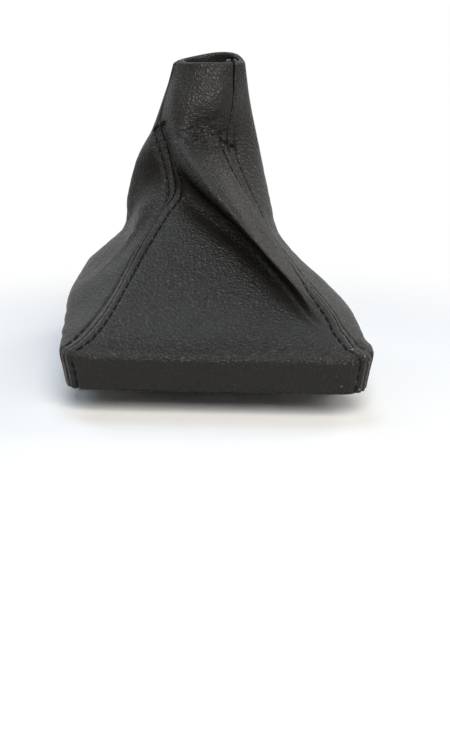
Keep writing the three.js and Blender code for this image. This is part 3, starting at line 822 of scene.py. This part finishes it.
# The wrinkles there: how deep, how wide their hills are along the axes, and a place in the noise.
NECK_WRINKLES = (0.5, (9, 9, 2.8), 41.0)
HEEL_WRINKLES = (0.5, (4.5, 4.5, 3), 9.0)
BELLY_WRINKLES = (0.25, (5, 5, 3.6), 13.0)
FOOT_WRINKLES = (0.5, (5, 5, 3.2), 25.0)
SIDE_WRINKLES = (0.3, (7, 7, 4.5), 29.0)


def grown(values, ends):
    """0 up to the first of two measures in millimetres, 1 from the second on."""
    return ease(values, ends[0] * MM, ends[1] * MM)


def beside_line(points, line):
    """How far each point is from a line of places."""
    best = np.full(points.shape[:2], np.inf)
    for start, end in zip(line, line[1:]):
        start, end = np.array(start) * MM, np.array(end) * MM
        way = end - start
        length = float(np.linalg.norm(way))
        share = np.clip(((points - start) @ way) / length**2, 0, 1)
        apart = np.linalg.norm(points - start - share[..., None] * way, axis=2)
        best = np.minimum(best, apart)
    return best


def swells(panel, table):
    """Raises the swellings of a table, and lowers its dents."""
    for centre, spread, height in table:
        panel.raise_by(near(panel.points, centre, spread) * height * MM)


def wrinkles(panel, mask, depth, size, seed):
    """Fine wrinkles: narrow furrows between wider hills, whose size may differ along the axes."""
    hills = np.abs(noise_at(panel.points, np.array(size) * MM, seed))
    furrows = 1 - ease(hills, 0.0, 0.4)
    panel.raise_by(-mask * furrows * depth * MM)


def lean_back(panel):
    """The front of the neck leans back towards its hem."""
    forward = 1 - grown(panel.points[..., 1], LEAN_ENDS)
    panel.points[..., 1] += forward * grown(panel.points[..., 2], LEAN_GROWS) * NECK_LEAN * MM
    panel.measure()


def shape_fold(panel, inside):
    """Rounds the fold's crest, sinks the valley under it and lets the crest hang over it. Gives how
    far each point lay from the crest."""
    rounded = inside * fading(beside_line(panel.points, CREST), CREST_WIDTH * MM)
    panel.points = smoothed(panel.points, 0.8 * rounded, 36)
    panel.measure()
    sunk = inside * fading(beside_line(panel.points, VALLEY), VALLEY_WIDTH * MM)
    panel.raise_by(-sunk * grown(panel.points[..., 2], VALLEY_GROWS) * VALLEY_DEPTH * MM)
    apart = beside_line(panel.points, CREST)
    hanging = inside * fading(apart, PULL_WIDTH * MM) * grown(panel.points[..., 2], PULL_GROWS)
    panel.points = panel.points + hanging[..., None] * np.array(CREST_PULL) * MM
    panel.points = smoothed(panel.points, 0.7 * inside * fading(apart, CREST_WIDTH * MM), 10)
    panel.measure()
    return apart


def settle_front(panel):
    """The fold across the front panel and the wrinkles beside it. Gives how slack and how crumpled
    it is, and how much painted shade it gets in the fold's hollow."""
    lean_back(panel)
    swells(panel, FRONT_SWELLS)
    inside = grown(panel.from_seam, FOLD_BEGINS)
    apart = shape_fold(panel, inside)

    heel = near(panel.points, *HEEL)
    panel.points = smoothed(panel.points, 0.7 * grown(panel.from_seam, HEEL_BEGINS) * heel, 10)
    panel.raise_by(heel * HEEL_RISE * MM)
    lower = fading(apart, SLACK_WIDTH * MM) * (1 - ease(panel.normals[..., 2], 0.1, 0.6))
    neck = near(panel.points, *NECK)
    heel_creases = near(panel.points, *HEEL_CREASES)
    wrinkles(panel, near(panel.points, *PRESSED_NECK) * inside, *NECK_WRINKLES)
    wrinkles(panel, heel, *HEEL_WRINKLES)
    belly = near(panel.points, *BELLY)
    wrinkles(panel, belly, *BELLY_WRINKLES)

    upward = panel.normals[..., 2]
    tight = 1 - fading(apart, TAUT_WIDTH * MM) * ease(upward, 0.0, 0.4)
    loose = np.clip(0.35 + 0.6 * belly + 0.8 * neck, 0, 1)
    # Painted shade along the valley, darkest a little in front of and above it, on faces turned away
    # from above.
    valley_shade = fading(beside_line(panel.points - np.array(DARKEST_SHADE_OFFSET) * MM, VALLEY), DARKEST_SHADE_WIDTH * MM)
    shaded_from_above = (1 - ease(upward, 0.35, 0.75)) * grown(panel.points[..., 2], PAINTED_SHADE_GROWS)
    return {
        "slack": np.clip(loose * tight + 0.6 * heel + 0.9 * lower, 0, 1),
        "crumple": np.clip(neck * 1.3 + 0.6 * heel_creases + 0.3 * belly, 0, 1),
        "painted_shade_share": VALLEY_PAINTED_SHADE * valley_shade * shaded_from_above,
    }


def settle_wrap(panel):
    """The bulges and wrinkles of the sides and the rear. Gives the same as settle_front."""
    lean_back(panel)
    swells(panel, WRAP_SWELLS)
    near_top = np.exp(-panel.from_top / (REAR_RISE_DEPTH * MM))
    rear = grown(panel.points[..., 1], REAR_BEGINS) * near_top
    to_right = grown(panel.points[..., 0], RIGHT_BEGINS)
    panel.points[..., 2] += rear * (REAR_RISE + RIGHT_RISE * to_right) * MM
    panel.measure()
    ring = near(panel.points, *RING)
    foot = near(panel.points, *FOOT)
    wrinkles(panel, foot, *FOOT_WRINKLES)
    side = near(panel.points, *SIDES)
    wrinkles(panel, side, *SIDE_WRINKLES)
    return {
        "slack": np.clip(0.35 + 0.5 * side + 0.5 * ring, 0, 1),
        "crumple": np.clip(0.9 * ring + 0.5 * foot, 0, 1),
        # The left hollow is mixed with painted shade.
        "painted_shade_share": HOLLOW_PAINTED_SHADE * near(panel.points, *LEFT_HOLLOW),
    }


# Seams


def seams(front_panel, wrap_panel):
    """The two sides of each seam: a panel, and whether its columns start there."""
    return [
        [(front_panel, front_starts), (wrap_panel, not front_starts)]
        for front_starts in (True, False)
    ]


def from_edge(panel, at_start):
    """How far each point of a panel is from one of its seams."""
    return panel.from_start if at_start else panel.from_end


def carried_over(values, rows, own_rows):
    """What stands along the other panel's edge, at the rows of a panel's own edge."""
    return np.stack([np.interp(own_rows, rows, values[:, k]) for k in range(3)], axis=1)


def meet_at_seam(front_panel, wrap_panel):
    """Both panels end halfway between where each would lie, at either seam. Their slits are open."""
    for sides in seams(front_panel, wrap_panel):
        edges = [panel.points[:, column(at_start)] for panel, at_start in sides]
        for k, (panel, at_start) in enumerate(sides):
            met = carried_over(edges[1 - k], sides[1 - k][0].rows, panel.rows)
            inward = panel.points[:, column(at_start, 3)] - edges[k]
            inward /= np.linalg.norm(inward, axis=1, keepdims=True)
            from_top = panel.from_top[:, column(at_start)]
            slit = SLIT_OPEN * (1 - ease(from_top, 1 * MM, SLIT_LENGTH))
            move = (met - edges[k]) / 2 + inward * slit[:, None]
            share = fading(from_edge(panel, at_start), MEET_WIDTH * MM)
            panel.points = panel.points + share[..., None] * move[:, None]
        for panel, _ in sides:
            panel.measure()


def thicken_seams(panel):
    """Both layers of the seams stand proud of the skirt, and topstitches pull their rows in."""
    low = 1 - grown(panel.points[..., 2], PROUD_ENDS)
    panel.raise_by(low * fading(panel.from_seam, PROUD_WIDTH * MM) * PROUD * MM)
    sunk = fading(panel.from_seam - STITCH_OFFSET, STITCH_GROOVE_WIDTH * MM)
    panel.raise_by(-sunk * grown(panel.from_top, GROOVE_BEGINS) * STITCH_GROOVE * MM)


def turn_in_together(front_panel, wrap_panel):
    """The edges of both panels turn in the same way along a seam, so that it stays closed."""
    for sides in seams(front_panel, wrap_panel):
        ways = [panel.normals[:, column(at_start)] for panel, at_start in sides]
        for k, (panel, at_start) in enumerate(sides):
            met = carried_over(ways[1 - k], sides[1 - k][0].rows, panel.rows)
            shared = (met + ways[k])[:, None]
            shared = shared / np.linalg.norm(shared, axis=2, keepdims=True)
            share = fading(from_edge(panel, at_start), TURN_WIDTH * MM)[..., None]
            turned = panel.normals * (1 - share) + shared * share
            panel.normals = turned / np.linalg.norm(turned, axis=2, keepdims=True)


front = Panel("front_panel", FRONT_STEP)
wrap = Panel("wrap_panel", WRAP_STEP)
front_marks = settle_front(front)
wrap_marks = settle_wrap(wrap)
meet_at_seam(front, wrap)
thicken_seams(front)
thicken_seams(wrap)
turn_in_together(front, wrap)
front_cloth = cloth_object("front_leathercloth", front, front_marks)
wrap_cloth = cloth_object("wrap_leathercloth", wrap, wrap_marks)


# Thread


def along_line(points, ways, at):
    """The place, the way out and the way along a line of points, at a length from its start."""
    gaps = np.linalg.norm(np.diff(points, axis=0), axis=1)
    lengths = np.concatenate([[0], np.cumsum(gaps)])
    ends = [
        Vector([np.interp(at + half, lengths, points[:, k]) for k in range(3)])
        for half in (-STITCH_LENGTH / 2, STITCH_LENGTH / 2)
    ]
    out = Vector([np.interp(at, lengths, ways[:, k]) for k in range(3)]).normalized()
    return (ends[0] + ends[1]) / 2, out, (ends[1] - ends[0]).normalized()


def thread_bead(bm, place, out, along, size):
    """One stretch of thread that shows between two holes: size is its length, width and height."""
    across = out.cross(along).normalized()
    lift = along.cross(across).normalized()
    turn = Matrix((along, across, lift)).transposed().to_4x4()
    matrix = Matrix.Translation(place) @ turn @ Matrix.Diagonal((*(s / 2 for s in size), 1))
    bmesh.ops.create_uvsphere(
        bm, u_segments=BEAD_SIDES, v_segments=BEAD_RINGS, radius=1, matrix=matrix
    )


def thread_object(name, bm, node):
    """Stitches that stand for a node of the CAD part."""
    obj = new_object(name, bm, thread_finish)
    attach(obj, "root")
    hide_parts(node)


def tack_middle(node):
    """The middle of a bar tack of the CAD part."""
    low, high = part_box(node)
    return (low + high) / 2


def stitch_row(name, node, panel, at_start, tack):
    """A row of topstitches up to a bar tack, seen on the grain side and on the allowance behind."""
    points, ways = panel.line(STITCH_OFFSET, at_start)
    stop = int(np.argmin([(Vector(p) - tack).length for p in points]))
    points, ways = points[:stop], ways[:stop]
    total = float(np.linalg.norm(np.diff(points, axis=0), axis=1).sum())
    size = (STITCH_LENGTH, STITCH_WIDTH, STITCH_HEIGHT)
    bm = bmesh.new()
    at = STITCH_PITCH / 2
    while at < total - STITCH_PITCH / 2:
        place, out, along = along_line(points, ways, at)
        thread_bead(bm, place + out * STITCH_PROUD, out, along, size)
        if place.z > FRAME_HIDES:
            behind = place - out * (2 * LEATHER + STITCH_PROUD_BEHIND)
            thread_bead(bm, behind, -out, along, size)
        at += STITCH_PITCH
    thread_object(name, bm, node)


def bar_tack(name, node, before, after, slant):
    """A close row of short stitches across the seam, where the slit begins."""
    tack = tack_middle(node)
    bm = bmesh.new()
    for i in range(TACK_RIBS):
        across = (i / (TACK_RIBS - 1) - 0.5) * TACK_LENGTH
        panel, at_start = (after, True) if across >= 0 else (before, False)
        points, ways = panel.line(max(abs(across), EDGE_ROUND), at_start)
        aim = tack - Vector((0, 0, slant * across))
        at = int(np.argmin([(Vector(p) - aim).length for p in points]))
        place, out = Vector(points[at]), Vector(ways[at])
        along = Vector(points[at + 1] - points[at - 1]).normalized()
        thread_bead(bm, place + out * TACK_PROUD, out, along, TACK_STITCH)
    thread_object(name, bm, node)


left_tack = tack_middle("left_bar_tack")
right_tack = tack_middle("right_bar_tack")
stitch_row("left_stitches_front", "left_stitch_row_front", front, True, left_tack)
stitch_row("left_stitches_side", "left_stitch_row_side", wrap, False, left_tack)
stitch_row("right_stitches_front", "right_stitch_row_front", front, False, right_tack)
stitch_row("right_stitches_side", "right_stitch_row_side", wrap, True, right_tack)
bar_tack("left_tack_threads", "left_bar_tack", wrap, front, LEFT_TACK_SLANT)
bar_tack("right_tack_threads", "right_bar_tack", front, wrap, RIGHT_TACK_SLANT)


# Frame


def moulding():
    """The frame and its hooks, with the small rounded edges of a moulding."""
    bm = bmesh.new()
    bm.from_mesh(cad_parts["frame"].data)
    bmesh.ops.remove_doubles(bm, verts=bm.verts, dist=MERGE)
    bmesh.ops.dissolve_limit(bm, angle_limit=FLAT_ANGLE, verts=bm.verts, edges=bm.edges)
    sharp = [e for e in bm.edges if len(e.link_faces) == 2 and e.calc_face_angle() > SHARP_ANGLE]
    bmesh.ops.bevel(
        bm, geom=sharp, offset=MOULDING_ROUND, segments=2, profile=0.5, affect="EDGES",
        material=-1, clamp_overlap=True,
    )
    for edge in bm.edges:
        edge.smooth = edge.is_manifold and edge.calc_face_angle() < SHADED_SHARP
    obj = new_object("frame_moulding", bm, plastic_finish)
    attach(obj, "root")
    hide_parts("frame")


moulding()

for cloth, node in ((front_cloth, "front_panel"), (wrap_cloth, "wrap_panel")):
    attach(cloth, "root")
    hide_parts(node)


# Floor and light


# Each lamp: its name, place, size, power and colour.
LAMPS = [
    ("window", (0.14, -0.66, 0.66), 0.5, 8.6, (1.0, 0.97, 0.92)),
    ("skylight", (-0.05, 0.12, 0.95), 0.4, 2.4, (0.68, 0.83, 1.0)),
    ("garden", (-0.5, 0.4, 0.7), 0.4, 1.5, (0.68, 0.83, 1.0)),
    ("room", (0.5, -0.55, 0.55), 0.35, 1.4, (1.0, 0.98, 0.96)),
    ("side", (0.55, 0.5, 0.58), 0.35, 1.3, (1.0, 0.98, 0.96)),
]
LIT_PLACE = Vector((0, 0.05, 0.04))
ROUND_LIGHT = 0.05
ROUND_LIGHT_TONE = (1.0, 0.97, 0.93, 1)


def floor():
    """A white floor under the hooks."""
    bm = bmesh.new()
    bmesh.ops.create_grid(bm, x_segments=1, y_segments=1, size=FLOOR_SIZE)
    bmesh.ops.translate(bm, verts=bm.verts, vec=(0, 0, cad_box[0].z - FLOOR_GAP))
    new_object("floor", bm, floor_paper())


def lamp(name, place, size, power, colour):
    """A soft square lamp that looks at the gaiter."""
    data = bpy.data.lights.new(name, "AREA")
    data.shape = "SQUARE"
    data.size = size
    data.energy = power
    data.color = colour
    obj = bpy.data.objects.new(name, data)
    obj.location = place
    obj.rotation_euler = (LIT_PLACE - obj.location).to_track_quat("-Z", "Y").to_euler()
    bpy.context.scene.collection.objects.link(obj)


def surroundings():
    """Plain light from all round. The camera, glossy and see-through surfaces see white."""
    world = bpy.data.worlds.new("studio")
    bpy.context.scene.world = world
    recipe = Recipe(world)
    mirrored = recipe.larger(recipe.ray("Is Glossy Ray"), recipe.ray("Is Transmission Ray"))
    seen = recipe.larger(recipe.ray("Is Camera Ray"), mirrored)
    light = recipe.node(
        "ShaderNodeBackground", sockets={"Color": ROUND_LIGHT_TONE, "Strength": ROUND_LIGHT}
    )
    white = recipe.node("ShaderNodeBackground", sockets={"Color": WHITE, "Strength": 1.0})
    recipe.ended(recipe.mixed(seen, light, white), "ShaderNodeOutputWorld")


floor()
for row in LAMPS:
    lamp(*row)
surroundings()
bpy.context.scene.view_settings.view_transform = "Standard"


bpy.context.view_layer.update()
